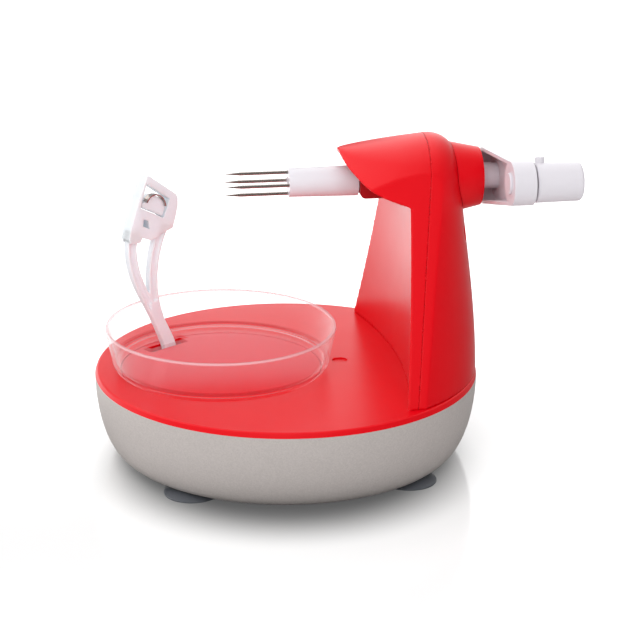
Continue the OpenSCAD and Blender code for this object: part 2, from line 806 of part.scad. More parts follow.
module ring_gear() {
  web_r = gear_m * ring_n / 2 - 5;
  window_r = (web_r - 13) / 2 - 1;
  color(POM) at_table() difference() {
    union() {
      translate([0, 0, RING_Z]) spur(ring_n, RING_T, 0);
      translate([0, 0, RING_Z - 1.5]) cylinder(h = HUB_T + 1.5, r = 11);
    }
    translate([0, 0, RING_Z - 3]) cylinder(h = 20, r = axle_r + RUN);
    each_spoke(WINDOWS + 1) translate([14 + window_r, 0, RING_Z - 1]) cylinder(h = RING_T + 2, r = window_r);
  }
}

// Turntable

module clutch_ring() {
  color(CUP_GREY) at_table() translate([0, 0, clutch_z]) ring(10.5, axle_r + 0.4, CLUTCH_T);
}

// The slot, or the block that cuts it
module arm_slot(z0, z1, grow = 0) {
  at_arm() translate([arm_rho - 0.1 - grow, -slot_len / 2 - grow, z0])
    cube([slot_w + 2 * grow, slot_len + 2 * grow, z1 - z0]);
}

module pin_span(t0, t1, r) {
  at_arm() translate([arm_mid, -t0, pin_z]) rotate([90, 0, 0]) cylinder(h = t1 - t0, r = r);
}

module turntable() {
  color(RED) difference() {
    union() {
      at_table() translate([0, 0, table_bottom]) cylinder(h = TABLE_T, r = table_r);
      at_table() translate([0, 0, hub_z]) cylinder(h = table_bottom - hub_z + EPS, r = 11);
      for (t = [-LUG_OUT, LUG_OUT - LUG_T + FOOT_T * 2]) {
        pin_span(t, t + LUG_T, EYE_R);
        at_arm() translate([arm_mid - EYE_R, -t - LUG_T, pin_z])
          cube([2 * EYE_R, LUG_T, table_bottom - pin_z + EPS]);
      }
    }
    at_table() translate([0, 0, hub_z - 1]) cylinder(h = table_bottom - hub_z, r = axle_r + RUN);
    arm_slot(table_bottom - EYE_R, table_top + 1);
    pin_span(-20, 20, pin_r);
  }
}

module arm_pin() {
  color(STEEL) {
    pin_span(-LUG_OUT - 0.6, LUG_OUT + FOOT_T * 2 + 0.6, pin_r);
  }
}

SPRING_WIRE = 0.45;
SPRING_TURNS = 2;

// A helical wire as rings of points joined into one tube
module helix(r, wire, pitch, turns, per_turn = 14, sides = 8) {
  n = turns * per_turn;
  slant = pitch / (2 * PI * r);
  pts = [for (i = [0:n]) let (a = 360 * i / per_turn) for (k = [0:sides - 1])
    let (b = 360 * k / sides, rr = r + wire * cos(b))
    [rr * cos(a), rr * sin(a), pitch * i / per_turn + wire * sin(b)]];
  walls = [for (i = [0:n - 1]) for (k = [0:sides - 1]) let (k2 = (k + 1) % sides)
    [i * sides + k, i * sides + k2, (i + 1) * sides + k2, (i + 1) * sides + k]];
  polyhedron(concat(pts), concat([[for (k = [sides - 1:-1:0]) k]], walls,
    [[for (k = [0:sides - 1]) n * sides + k]]), convexity = 6);
}

module arm_spring() {
  pitch = 2.2 * SPRING_WIRE;
  color(STEEL) at_arm() translate([arm_mid, LUG_OUT - LUG_T - SPRING_WIRE - 0.05, pin_z]) rotate([90, 0, 0])
    helix(pin_r + SPRING_WIRE + 0.1, SPRING_WIRE, pitch, SPRING_TURNS);
}

// Dish

DISH_FLOOR = 1.8;
DISH_LIFT = 0.05;

module dish_section() {
  z0 = table_top + DISH_LIFT;
  z1 = z0 + dish_h;
  knee_r = (dish_rim_r + dish_foot_r) / 2 + 1.3;
  knee_z = 6.2;
  corner = [for (a = [0:15:90]) [dish_foot_r + (knee_r - dish_foot_r) * sin(a), z0 + knee_z * (1 - cos(a))]];
  inner = [for (i = [6:-1:0]) let (a = 15 * i)
    [dish_foot_r - 0.4 + (knee_r - dish_wall - dish_foot_r + 0.4) * sin(a),
     z0 + DISH_FLOOR + (knee_z - DISH_FLOOR + 0.6) * (1 - cos(a))]];
  polygon(concat([[0, z0]], corner, [[dish_rim_r, z1 - 0.6], [dish_rim_r - 0.3, z1],
    [dish_rim_r - dish_wall + 0.2, z1], [dish_rim_r - dish_wall, z1 - 0.6]], inner, [[0, z0 + DISH_FLOOR]]));
}

module dish() {
  color(CLEAR) difference() {
    at_table() rotate_extrude($fn = 96) dish_section();
    arm_slot(table_top - 1, table_top + 6);
  }
}

// Peeling arm, drawn in its own plane: t along the slot, then height

STEM = [[FOOT_T, pin_z], [0.7, lid_top + 4], [-6.4, lid_top + 9], [-8.7, lid_top + 24]];
LEFT_PRONG = [[-10.6, lid_top + 20], [-17, lid_top + 30], [-24.8, lid_top + 42], [-20.4, lid_top + 62]];
RIGHT_PRONG = [[-8.3, lid_top + 19], [-12.7, lid_top + 32], [-9.6, lid_top + 44], [-1.4, lid_top + 62]];
PRONG_W = 5.3;

module prongs(grow = 0) {
  strip(LEFT_PRONG, PRONG_W + 2 * grow, PRONG_W + 2 * grow);
  strip(RIGHT_PRONG, PRONG_W + 0.4 + 2 * grow, PRONG_W + 0.4 + 2 * grow);
}

module peel_arm() {
  color(WHITE) difference() {
    union() {
      in_arm_plane(arm_out, arm_t) {
        strip(STEM, arm_w, arm_w + 1.4);
        prongs();
      }
      pin_span(FOOT_T - arm_w / 2, FOOT_T + arm_w / 2, EYE_R - 0.2);
    }
    pin_span(-20, 20, pin_r + RUN);
  }
}

HEAD_OUTLINE = [[-12.9, 129.4], [-11.8, 129.6], [4.6, 117.7], [5.5, 115.6], [5.4, 112], [3.9, 106.8],
  [2, 101.6], [-5.9, 100.2], [-7.5, 98.8], [-11.7, 98.2], [-16.6, 100.4], [-18, 98.3], [-23.8, 98.8],
  [-24.4, 101.2], [-23.2, 106.4], [-19.3, 115.8]];
HEAD_WINDOW = [[-13.3, 126.2], [0.6, 116.1], [-3.4, 107.6], [-17.4, 115]];
CARRIER_OUTLINE = [[-9.9, 119.8], [-7.8, 119.2], [-4.6, 117.2], [-2.3, 114.4], [-2, 112.6],
  [-4, 108.5], [-16.4, 115.1], [-15.6, 116.8], [-12.6, 117.4]];
CLIP_SLOT = [[-15.5, 109.2], [-12.9, 108], [-12.1, 103.8], [-16.2, 106]];
// The head is drawn for a lid whose top lies 42 mm up
DRAWN_LID_TOP = 42;
HEAD_RISE = lid_top - DRAWN_LID_TOP;
CARRIER_PIN = 9.2;

module carrier_pins(r, reach) {
  at_arm() translate([arm_mid, -CARRIER_AT[0], CARRIER_AT[1] + HEAD_RISE]) rotate([-90 - BLADE_TILT, 0, 0])
    translate([0, 0, -reach]) cylinder(h = 2 * reach, r = r, $fn = 32);
}

module peeler_head() {
  color(WHITE) difference() {
    in_arm_plane(head_out, head_t) translate([0, HEAD_RISE]) polygon(HEAD_OUTLINE);
    in_arm_plane(head_out + 1, head_t + 2) translate([0, HEAD_RISE]) polygon(HEAD_WINDOW);
    in_arm_plane(head_out - 1.2, head_t) translate([0, HEAD_RISE]) polygon(CLIP_SLOT);
    in_arm_plane(arm_out + SLIP, arm_t + 2 * SLIP) prongs(SLIP);
    carrier_pins(TRUNNION_R + 0.08, CARRIER_PIN + 0.2);
  }
}

BLADE_ARCH = [[-13.5, 117], [-12.2, 121.4], [-3.4, 121.4], [-2.2, 113.2]];
BLADE_T = 0.5;
BLADE_W = 3;
BLADE_SEAT = 0.02;

module blade_form(grow) {
  in_arm_plane(arm_mid - head_t / 2 + 2.6 + grow, BLADE_W + 2 * grow) translate([0, HEAD_RISE])
    strip(BLADE_ARCH, BLADE_T + 2 * grow, BLADE_T + 2 * grow);
}

// Rocking holder, notched where the blade's two feet stand on it
module blade_carrier() {
  color(WHITE) difference() {
    union() {
      in_arm_plane(head_out - 0.6, head_t - 1.2) translate([0, HEAD_RISE]) polygon(CARRIER_OUTLINE);
      carrier_pins(TRUNNION_R, CARRIER_PIN);
    }
    blade_form(BLADE_SEAT);
  }
}

// Thin bent cutter that bridges the carrier's two sides
module blade() {
  color(STEEL) blade_form(0);
}

// Crank

module crank_frame() {
  place() translate([0, 0, spindle_z]) rotate([-crank_rise, 0, 0]) children();
}

// Round bar along X at a distance out along the crank
module crank_bar(x0, x1, r, out = 0) {
  translate([x0, -out, 0]) rotate([0, 90, 0]) cylinder(h = x1 - x0, r = r);
}

// Web between the round ends, its corners a little inside the tangent points
WEB_SHARE = 0.993;

module crank_web(x0, x1, inset) {
  a = asin((hub_r - crank_end_r) / crank_len);
  hub_w = (hub_r - inset) * WEB_SHARE;
  end_w = (crank_end_r - inset) * WEB_SHARE;
  translate([x0, 0, 0]) rotate([90, 0, 90]) linear_extrude(x1 - x0) polygon([
    [-hub_w * sin(a), hub_w * cos(a)], [-crank_len - end_w * sin(a), end_w * cos(a)],
    [-crank_len - end_w * sin(a), -end_w * cos(a)], [-hub_w * sin(a), -hub_w * cos(a)]]);
}

CRANK_WALL = 1.8;
CRANK_WEB = 3;

module crank_arm() {
  color(WHITE) crank_frame() difference() {
    union() {
      difference() {
        union() {
          crank_bar(crank_x0, crank_x1, hub_r);
          crank_bar(crank_x0, crank_x1, crank_end_r, crank_len);
          crank_web(crank_x0, crank_x1, 0);
        }
        difference() {
          union() {
            crank_bar(crank_x0 - 1, crank_x1 - CRANK_WEB, hub_r - CRANK_WALL);
            crank_web(crank_x0 - 1, crank_x1 - CRANK_WEB, CRANK_WALL);
          }
          crank_bar(crank_x0 - 2, crank_x1, crank_end_r, crank_len);
        }
      }
      crank_bar(crank_x0 - 1.4, crank_x1 - 1, spindle_r + 3);
    }
    crank_bar(crank_x0 - 3, crank_x1 - 3, spindle_r);
    crank_bar(crank_x1 - 6, crank_x1 + 1, 1.6);
    crank_bar(crank_x0 - 1, crank_x1 + 1, stud_r, crank_len);
  }
}

module crank_screw() {
  color(STEEL) crank_frame() {
    crank_bar(crank_x1 - 8, crank_x1 + EPS, 1.25);
    crank_bar(crank_x1, crank_x1 + 2, 3.4);
  }
}

module knob_stud() {
  color(WHITE) crank_frame() {
    crank_bar(crank_x0, knob_x1 - 4, stud_r, crank_len);
    crank_bar(crank_x0 - 1, crank_x0 + EPS, stud_r + 2, crank_len);
  }
}

KNOB_ROUND = 1.6;

module handle_knob() {
  color(WHITE) crank_frame() translate([0, -crank_len, 0]) difference() {
    union() {
      translate([knob_x0, 0, 0]) rotate([0, 90, 0]) rotate_extrude() polygon(concat(
        [[0, 0], [knob_r - 0.5, 0], [knob_r, 0.5]],
        [for (a = [0:22.5:90]) [knob_r - 0.2 - KNOB_ROUND + KNOB_ROUND * cos(a),
          knob_len - KNOB_ROUND + KNOB_ROUND * sin(a)]],
        [[0, knob_len]]));
      translate([knob_x0 + 2.6, 0, knob_r - 1]) cylinder(h = 3.4, r = 2, $fn = 32);
    }
    translate([knob_x0 - 1, 0, 0]) rotate([0, 90, 0]) cylinder(h = knob_len - 2, r = stud_r + RUN);
  }
}

base_bowl();
bottom_plate();
suction_cup_front_left();
suction_cup_front_right();
suction_cup_back_left();
suction_cup_back_right();
plate_screws();
lid_screws();
top_lid();
tower_front_shell();
tower_rear_shell();
tower_screws();
rear_collar();
front_bearing_block();
front_bush();
rear_bush();
gear_bracket();
turntable_axle();
idler_axle();
spindle();
fork_sleeve();
fork_tines();
spindle_bevel();
crank_arm();
crank_screw();
knob_stud();
handle_knob();
drive_shaft();
shaft_bevel();
shaft_pinion();
idler_gear();
ring_gear();
turntable();
clutch_ring();
dish();
arm_pin();
arm_spring();
peel_arm();
peeler_head();
blade_carrier();
blade();
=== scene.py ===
import json
import math

import bmesh
import bpy
from mathutils import Matrix, Vector
from mathutils.bvhtree import BVHTree


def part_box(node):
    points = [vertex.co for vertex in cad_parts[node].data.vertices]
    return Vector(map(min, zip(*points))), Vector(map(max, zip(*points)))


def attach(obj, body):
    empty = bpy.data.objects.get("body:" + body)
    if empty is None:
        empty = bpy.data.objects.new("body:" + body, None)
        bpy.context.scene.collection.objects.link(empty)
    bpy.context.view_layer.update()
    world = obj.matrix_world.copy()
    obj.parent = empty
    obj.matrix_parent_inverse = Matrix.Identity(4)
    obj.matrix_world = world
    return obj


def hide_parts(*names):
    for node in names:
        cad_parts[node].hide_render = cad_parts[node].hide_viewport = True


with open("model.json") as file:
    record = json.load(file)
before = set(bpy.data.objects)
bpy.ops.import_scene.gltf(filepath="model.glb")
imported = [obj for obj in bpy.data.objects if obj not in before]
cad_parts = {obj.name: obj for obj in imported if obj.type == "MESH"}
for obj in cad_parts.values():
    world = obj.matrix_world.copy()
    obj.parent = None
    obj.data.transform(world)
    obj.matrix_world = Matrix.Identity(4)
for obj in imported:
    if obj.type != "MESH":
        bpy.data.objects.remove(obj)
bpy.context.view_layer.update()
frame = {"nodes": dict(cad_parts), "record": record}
nodes = frame["nodes"]
MM = 0.001

# Places read from the frame, in metres
lid_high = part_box("top_lid")[1]
bowl_low, bowl_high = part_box("base_bowl")
table_low, table_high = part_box("turntable")
dish_low, dish_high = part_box("dish")
sleeve_low, sleeve_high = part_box("fork_sleeve")
back_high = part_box("tower_rear_shell")[1]
base_axis = (bowl_low + bowl_high) / 2
table_axis = (table_low + table_high) / 2
spindle_axis = (sleeve_low + sleeve_high) / 2


# Materials

def linear(code):
    """Linear colour of an sRGB hex value."""
    parts = [int(code[i:i + 2], 16) / 255 for i in (1, 3, 5)]
    return tuple(c / 12.92 if c <= 0.04045 else ((c + 0.055) / 1.055) ** 2.4 for c in parts) + (1.0,)


def add(tree, kind, links=(), **settings):
    """Adds a node, sets its inputs or properties by name, and links its inputs from other sockets."""
    node = tree.nodes.new(kind)
    for key, value in settings.items():
        if key in node.inputs:
            node.inputs[key].default_value = value
        else:
            setattr(node, key, value)
    for key, source in dict(links).items():
        tree.links.new(source, node.inputs[key])
    return node


def new_material(name, **settings):
    """A material with one shader, whose plain values are set on its own sockets."""
    material = bpy.data.materials.new(name)
    material.use_nodes = True
    tree = material.node_tree
    shader = tree.nodes["Principled BSDF"]
    for key, value in settings.items():
        shader.inputs[key.replace("_", " ")].default_value = value
    place = add(tree, "ShaderNodeTexCoord").outputs["Object"]
    return material, tree, shader, place


def grain(tree, place, shader, size_mm, depth_mm, detail=2.0):
    """Fine all-over texture, as a bump of a real depth."""
    noise = add(tree, "ShaderNodeTexNoise", {"Vector": place}, Scale=1 / (size_mm * MM), Detail=detail)
    bump = add(tree, "ShaderNodeBump", {"Height": noise.outputs["Fac"]}, Strength=1.0, Distance=depth_mm * MM)
    tree.links.new(bump.outputs["Normal"], shader.inputs["Normal"])
    return noise


def vary_roughness(tree, place, shader, size_mm, low, high):
    """Patches where the surface is a little more or less polished."""
    noise = add(tree, "ShaderNodeTexNoise", {"Vector": place}, Scale=1 / (size_mm * MM), Detail=1.0)
    spread = add(tree, "ShaderNodeMapRange", {"Value": noise.outputs["Fac"]})
    spread.inputs["To Min"].default_value = low
    spread.inputs["To Max"].default_value = high
    tree.links.new(spread.outputs["Result"], shader.inputs["Roughness"])


def moulded_abs(name, colour, low, high, grain_mm=0.35, shine=0.22, depth_mm=0.0):
    """ABS, injection moulded in a finely blasted mould: clean colour under a soft, slightly uneven
    gloss. With a depth given, light enters it that far."""
    material, tree, shader, place = new_material(name, IOR=1.53, Specular_IOR_Level=shine)
    if depth_mm:
        shader.inputs["Subsurface Weight"].default_value = 0.7
        shader.inputs["Subsurface Radius"].default_value = (1, 1, 1)
        shader.inputs["Subsurface Scale"].default_value = depth_mm * MM
    shader.inputs["Base Color"].default_value = linear(colour)
    grain(tree, place, shader, grain_mm, 0.0015)
    vary_roughness(tree, place, shader, 14, low, high)
    return material


def satin_lacquer():
    """Silver lacquer, sprayed on ABS: metal flakes under a soft sheen. Real flakes are far finer than
    the 0.6 mm drawn here, which is as coarse as they need to be to show."""
    material, tree, shader, place = new_material("satin_lacquer", Metallic=0.25)
    flakes = add(tree, "ShaderNodeTexVoronoi", {"Vector": place}, Scale=1 / (0.6 * MM))
    ramp = add(tree, "ShaderNodeMixRGB", {"Fac": flakes.outputs["Color"]})
    ramp.inputs["Color1"].default_value = linear("#cec6c2")
    ramp.inputs["Color2"].default_value = linear("#dad2ce")
    tree.links.new(ramp.outputs["Color"], shader.inputs["Base Color"])
    grain(tree, place, shader, 0.6, 0.006, detail=1.0)
    vary_roughness(tree, place, shader, 20, 0.44, 0.5)
    return material


# In millimetres: how far towards -Y from the turntable's axis the dish's painted sheen is weakest, where its
# rim's painted highlight starts and is full (below the rim), and where its knee's painted red fades (above
# the foot)
DISH_SHEEN_LEAST_AT = 50
PAINTED_RIM_HIGHLIGHT = (1.1, 0.5)
PAINTED_KNEE_RED = (1.6, 4)
# Lower and upper end above the dish's foot in millimetres, then opacity: the pale line, a painted highlight,
# then the dark line, a painted shade
PAINTED_KNEE_LINES = ((2.7, 3.2, 0.32), (3.7, 4.9, 0.3))


def clear_styrene():
    """Clear polystyrene, moulded thin in a polished mould, seen through by alpha when faced. At a low angle
    a pale painted sheen stands for its reflection, weaker on its -Y side than behind, and its rim has a
    painted highlight. Its knee is painted pinker, for the red light that the bent wall gathers from the
    lid, and two painted lines go round the knee: a pale highlight and a dark red shade."""
    material, tree, shader, place = new_material("clear_styrene", IOR=1.59)
    # At a low angle a pale painted sheen stands for the dish's reflection, weaker on its -Y side
    facing = add(tree, "ShaderNodeLayerWeight", Blend=0.5)
    slant = add(tree, "ShaderNodeMath", {0: facing.outputs["Facing"]}, operation="POWER")
    slant.inputs[1].default_value = 4.0
    grazing_sheen = add(tree, "ShaderNodeMapRange", {"Value": slant.outputs[0]})
    grazing_sheen.inputs["To Min"].default_value = 0.025
    grazing_sheen.inputs["To Max"].default_value = 0.85
    height = add(tree, "ShaderNodeSeparateXYZ", {"Vector": place})
    sheen_side = add(tree, "ShaderNodeMapRange", {"Value": height.outputs["Y"]}, interpolation_type="SMOOTHSTEP")
    sheen_side.inputs["From Min"].default_value = table_axis.y - DISH_SHEEN_LEAST_AT * MM
    sheen_side.inputs["From Max"].default_value = table_axis.y
    sheen_side.inputs["To Min"].default_value = 0.08
    painted_sheen = add(tree, "ShaderNodeMath", {0: grazing_sheen.outputs["Result"], 1: sheen_side.outputs["Result"]},
               operation="MULTIPLY")
    # A painted highlight just below the rim
    rim_highlight = add(tree, "ShaderNodeMapRange", {"Value": height.outputs["Z"]})
    rim_highlight.inputs["From Min"].default_value = dish_high.z - PAINTED_RIM_HIGHLIGHT[0] * MM
    rim_highlight.inputs["From Max"].default_value = dish_high.z - PAINTED_RIM_HIGHLIGHT[1] * MM
    rim_highlight.inputs["To Max"].default_value = 0.55
    painted_lines = []
    # Two painted lines round the knee: a pale painted highlight and a dark red painted shade
    for low_mm, high_mm, strength in PAINTED_KNEE_LINES:
        from_middle = add(tree, "ShaderNodeMath", {0: height.outputs["Z"]}, operation="COMPARE")
        from_middle.inputs[1].default_value = dish_low.z + (low_mm + high_mm) / 2 * MM
        from_middle.inputs[2].default_value = (high_mm - low_mm) / 2 * MM
        painted_line = add(tree, "ShaderNodeMath", {0: from_middle.outputs[0]}, operation="MULTIPLY")
        painted_line.inputs[1].default_value = strength
        painted_lines.append(painted_line.outputs[0])
    seen = painted_sheen.outputs[0]
    for other in [rim_highlight.outputs["Result"]] + painted_lines:
        seen = add(tree, "ShaderNodeMath", {0: seen, 1: other}, operation="MAXIMUM").outputs[0]
    tree.links.new(seen, shader.inputs["Alpha"])
    # Pinker towards the foot: painted red light that the bent wall gathers from the lid
    knee_red_fade = add(tree, "ShaderNodeMapRange", {"Value": height.outputs["Z"]})
    knee_red_fade.inputs["From Min"].default_value = dish_low.z + PAINTED_KNEE_RED[0] * MM
    knee_red_fade.inputs["From Max"].default_value = dish_low.z + PAINTED_KNEE_RED[1] * MM
    painted_knee_red = add(tree, "ShaderNodeMixRGB", {"Fac": knee_red_fade.outputs["Result"]})
    painted_knee_red.inputs["Color1"].default_value = linear("#fbb9c1")
    painted_knee_red.inputs["Color2"].default_value = linear("#fdf4f5")
    colour = add(tree, "ShaderNodeMixRGB", {"Fac": rim_highlight.outputs["Result"], "Color1": painted_knee_red.outputs["Color"]})
    colour.inputs["Color2"].default_value = linear("#e58f9a")
    # The last of the lines is the dark one, a painted shade in dark red
    painted_shade_line = add(tree, "ShaderNodeMixRGB",
                    {"Fac": from_middle.outputs[0], "Color1": colour.outputs["Color"]})
    painted_shade_line.inputs["Color2"].default_value = linear("#c20a20")
    tree.links.new(painted_shade_line.outputs["Color"], shader.inputs["Base Color"])
    vary_roughness(tree, place, shader, 25, 0.05, 0.09)
    return material


def soft_pvc():
    """Soft PVC, moulded: dark grey with a dull, slightly dusty sheen."""
    material, tree, shader, place = new_material("soft_pvc", IOR=1.54)
    shader.inputs["Base Color"].default_value = linear("#5f6268")
    grain(tree, place, shader, 0.6, 0.006)
    vary_roughness(tree, place, shader, 5, 0.32, 0.45)
    return material


def drawn_steel():
    """Stainless steel wire and rod, drawn and polished: a fine texture blurs the gloss a little."""
    material, tree, shader, place = new_material("drawn_steel", Metallic=0.75)
    shader.inputs["Base Color"].default_value = linear("#ada39d")
    grain(tree, place, shader, 0.25, 0.003)
    vary_roughness(tree, place, shader, 2, 0.14, 0.26)
    return material


def turned_brass():
    """Brass, turned on a lathe and oiled: warm metal with a soft shine."""
    material, tree, shader, place = new_material("turned_brass", Metallic=1.0)
    shader.inputs["Base Color"].default_value = linear("#d2a858")
    grain(tree, place, shader, 0.2, 0.003)
    vary_roughness(tree, place, shader, 3, 0.22, 0.34)
    return material


def moulded_acetal():
    """Natural acetal, moulded: waxy ivory plastic that light enters a little way."""
    material, tree, shader, place = new_material("moulded_acetal", IOR=1.48, Subsurface_Weight=0.15)
    shader.inputs["Base Color"].default_value = linear("#ece6d6")
    shader.inputs["Subsurface Scale"].default_value = 1.5 * MM
    grain(tree, place, shader, 0.5, 0.004)
    vary_roughness(tree, place, shader, 6, 0.35, 0.45)
    return material


RED = moulded_abs("red_abs", "#e20012", 0.34, 0.38)
MATT_RED = moulded_abs("matt_red_abs", "#e20012", 0.5, 0.55, shine=0.08)
DARK_RED = moulded_abs("dark_red_abs", "#b3000e", 0.38, 0.44)
WHITE = moulded_abs("white_abs", "#e0dce2", 0.3, 0.36, grain_mm=0.6, shine=0.35)
# The peeling arm's white, painted cooler and lighter so that the red light that the lid throws on it doesn't
# show
WHITE_PAINTED_COOL = moulded_abs("white_abs_painted_cool", "#e5ecf2", 0.3, 0.36, grain_mm=0.6, shine=0.35,
                           depth_mm=3.5)
SILVER = satin_lacquer()
CLEAR = clear_styrene()
PVC = soft_pvc()
STEEL = drawn_steel()
BRASS = turned_brass()
ACETAL = moulded_acetal()

FINISHES = {
    "red_abs": RED, "dark_red_abs": DARK_RED, "white_abs": WHITE, "silver_paint": SILVER,
    "clear_styrene": CLEAR, "cup_rubber": PVC, "steel": STEEL, "brass": BRASS, "gear_acetal": ACETAL,
}
slot_of = {part["node"]: part["material_slot"] for part in frame["record"]["subparts"]}
body_of = {node: body for body, group in frame["record"]["behaviour"]["bodies"].items() for node in group}


def finish_of(node):
    """The finish of a node's slot. The turntable is matt, because the dish over it doesn't dull it,
    and the peeling arm is painted a cooler white, against the red light that the lid throws on it."""
    if node == "turntable":
        return MATT_RED
    if node in ("peel_arm", "peeler_head", "blade_carrier"):
        return WHITE_PAINTED_COOL
    return FINISHES[slot_of[node]]


# Making pieces

def dress(piece, node, *others):
    """Gives a piece the finish and the body of the CAD node that it stands for."""
    piece.data.materials.clear()
    piece.data.materials.append(finish_of(node))
    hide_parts(node, *others)
    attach(piece, body_of[node])
    return piece


def put_in_scene(name, mesh):
    piece = bpy.data.objects.new(name, mesh)
    bpy.context.scene.collection.objects.link(piece)
    return piece


def settle(piece):
    """Turns a piece's modifiers into its mesh."""
    bpy.context.view_layer.update()
    graph = bpy.context.evaluated_depsgraph_get()
    mesh = bpy.data.meshes.new_from_object(piece.evaluated_get(graph))
    piece.modifiers.clear()
    piece.data = mesh


def joined_copy(name, node, merge_faces=True):
    """A copy of a CAD node whose loose triangles are merged into clean faces."""
    mesh = nodes[node].data.copy()
    if "custom_normal" in mesh.attributes:
        mesh.attributes.remove(mesh.attributes["custom_normal"])
    form = bmesh.new()
    form.from_mesh(mesh)
    bmesh.ops.remove_doubles(form, verts=form.verts, dist=0.002 * MM)
    if merge_faces:
        bmesh.ops.dissolve_limit(form, angle_limit=math.radians(0.4), verts=form.verts, edges=form.edges)
    form.to_mesh(mesh)
    form.free()
    return put_in_scene(name, mesh)


def smooth_faces(piece, angle):
    """Shades smooth across edges up to an angle, and keeps the sharper ones crisp."""
    for face in piece.data.polygons:
        face.use_smooth = True
    piece.data.set_sharp_from_angle(angle=math.radians(angle))


def even_shading(piece):
    """Lets large flat faces keep their own normals, so that the gloss on them stays even."""
    weight = piece.modifiers.new("Even shading", "WEIGHTED_NORMAL")
    weight.mode = "FACE_AREA"
    weight.weight = 70
    weight.keep_sharp = True


def edge_rounded(name, node, radius_mm, segments=3, angle=28):
    """A moulded piece: the CAD form with every sharp edge rounded."""
    piece = joined_copy(name, node)
    smooth_faces(piece, 60)
    bevel = piece.modifiers.new("Rounded edges", "BEVEL")
    bevel.width = radius_mm * MM
    bevel.segments = segments
    bevel.limit_method = "ANGLE"
    bevel.angle_limit = math.radians(angle)
    bevel.use_clamp_overlap = True
    even_shading(piece)
    settle(piece)
    return dress(piece, node)


# Tower: its form repeats the driving sizes of the CAD source, in millimetres from the base's
# axis, with many more sections, and the moulded skins are laid on it.

TOWER_FOOT_R = 84.8
HEAD_R = 38.8
HEAD_BULGE = 1.08
BACK_FALL = 9.0
TIP_FALL = 5.2
SHOULDER_LEN = 12.0
SHOULDER_FALL = 11.0
STRIP_TURN = math.radians(-7)
STRIP_SINK = 3.35
STRIP_HEAD_Y = 32.5
foot_back = (bowl_high.x - base_axis.x) / MM - 0.4
face_x = foot_back - 35.6
tip_x = face_x - 30
foot_z = lid_high.z / MM
spindle_h = (spindle_axis.z - lid_high.z) / MM
crown_z = back_high.z / MM
nose_mid = face_x - 4
ridge_x = face_x + 13


def back_at(share):
    return foot_back - BACK_FALL * (5 * share ** 2 - 2 * share ** 3) / 3


def back_radius(share):
    return TOWER_FOOT_R + (HEAD_R - TOWER_FOOT_R) * (4 * share - share ** 2) / 3


def rib_radius(x):
    return HEAD_BULGE * math.sqrt(HEAD_R ** 2 - (x - back_at(1) + HEAD_R) ** 2)


def crown_at(x):
    return crown_z - TIP_FALL * (ridge_x - x) / (ridge_x - tip_x)


def spread(low, high, count):
    return [low + (high - low) * i / (count - 1) for i in range(count)]


def hoop(form, x, z, radius, upright):
    """A circle of the tower's form: level round its back, or upright across its head."""
    place = Matrix.Translation((x, 0, z))
    if upright:
        place = place @ Matrix.Rotation(math.pi / 2, 4, "Y")
    bmesh.ops.create_circle(form, segments=180, radius=radius, matrix=place)


def tower_form():
    """The tower's whole outside as one fair convex form, cut flat along both side strips."""
    form = bmesh.new()
    for share in spread(0, 1, 41):
        hoop(form, back_at(share) - back_radius(share), foot_z + share * spindle_h, back_radius(share), False)
    for angle in spread(math.radians(4), math.radians(88), 29):
        x = nose_mid - (nose_mid - tip_x) * math.cos(angle)
        radius = rib_radius(nose_mid) * math.sin(angle)
        hoop(form, x, crown_at(x) - radius, radius, True)
    for x in spread(nose_mid, ridge_x, 9):
        hoop(form, x, crown_at(x) - rib_radius(x), rib_radius(x), True)
    for angle in spread(math.radians(3), math.radians(75), 24):
        x = ridge_x + SHOULDER_LEN * math.sin(angle)
        fall = SHOULDER_FALL * (1 - math.cos(angle))
        hoop(form, x, crown_z - fall - rib_radius(x), rib_radius(x), True)
    bmesh.ops.convex_hull(form, input=form.verts)
    bmesh.ops.delete(form, geom=[v for v in form.verts if not v.link_faces], context="VERTS")
    strip_x = face_x - 7
    foot_mid = foot_back - TOWER_FOOT_R
    strip_y = math.sqrt(TOWER_FOOT_R ** 2 - (strip_x - foot_mid) ** 2) - STRIP_SINK
    lean = math.atan((strip_y - STRIP_HEAD_Y) / spindle_h)
    for side in (-1, 1):
        facing = Matrix.Rotation(STRIP_TURN, 3, "Z") @ Matrix.Rotation(lean, 3, "X") @ Vector((0, 1, 0))
        facing.y *= side
        cut = bmesh.ops.bisect_plane(form, geom=form.verts[:] + form.edges[:] + form.faces[:],
                                     plane_co=(strip_x, side * strip_y, foot_z), plane_no=facing,
                                     clear_outer=True, dist=0.0001)
        bmesh.ops.edgeloop_fill(form, edges=[e for e in cut["geom_cut"] if isinstance(e, bmesh.types.BMEdge)])
    bmesh.ops.scale(form, verts=form.verts, vec=(MM, MM, MM))
    bmesh.ops.translate(form, verts=form.verts, vec=(base_axis.x, base_axis.y, 0))
    return form


PARTING_FRONT = 4.0
PARTING_LEAN = math.radians(7.5)
PARTING_GAP = 0.08
FACE_R = 275.0
foot_level = lid_high.z


def face_spot(spot, reach_mm):
    """The nearest spot on the hollow front face, or nothing when it is out of reach."""
    axis = Vector((base_axis.x + (face_x - FACE_R) * MM, 0, spot.z))
    out = spot - axis
    near = axis + out * (FACE_R * MM / out.length)
    return near if (near - spot).length < reach_mm * MM else None


def on_front_face(spot, normal):
    """The same, where the surface is the face and not a wall beside it."""
    out = spot - Vector((base_axis.x + (face_x - FACE_R) * MM, 0, spot.z))
    return face_spot(spot, 0.5) if normal.dot(out) / out.length < -0.8 else None


def on_face_edge(spot, target):
    """The nearest spot on the front face's side edge, where the face meets the fair form."""
    for _ in range(4):
        near = face_spot(spot, 0.9)
        if near is None:
            return None
        spot = target.find_nearest(near, 0.9 * MM)[0]
        if spot is None:
            return None
    return spot


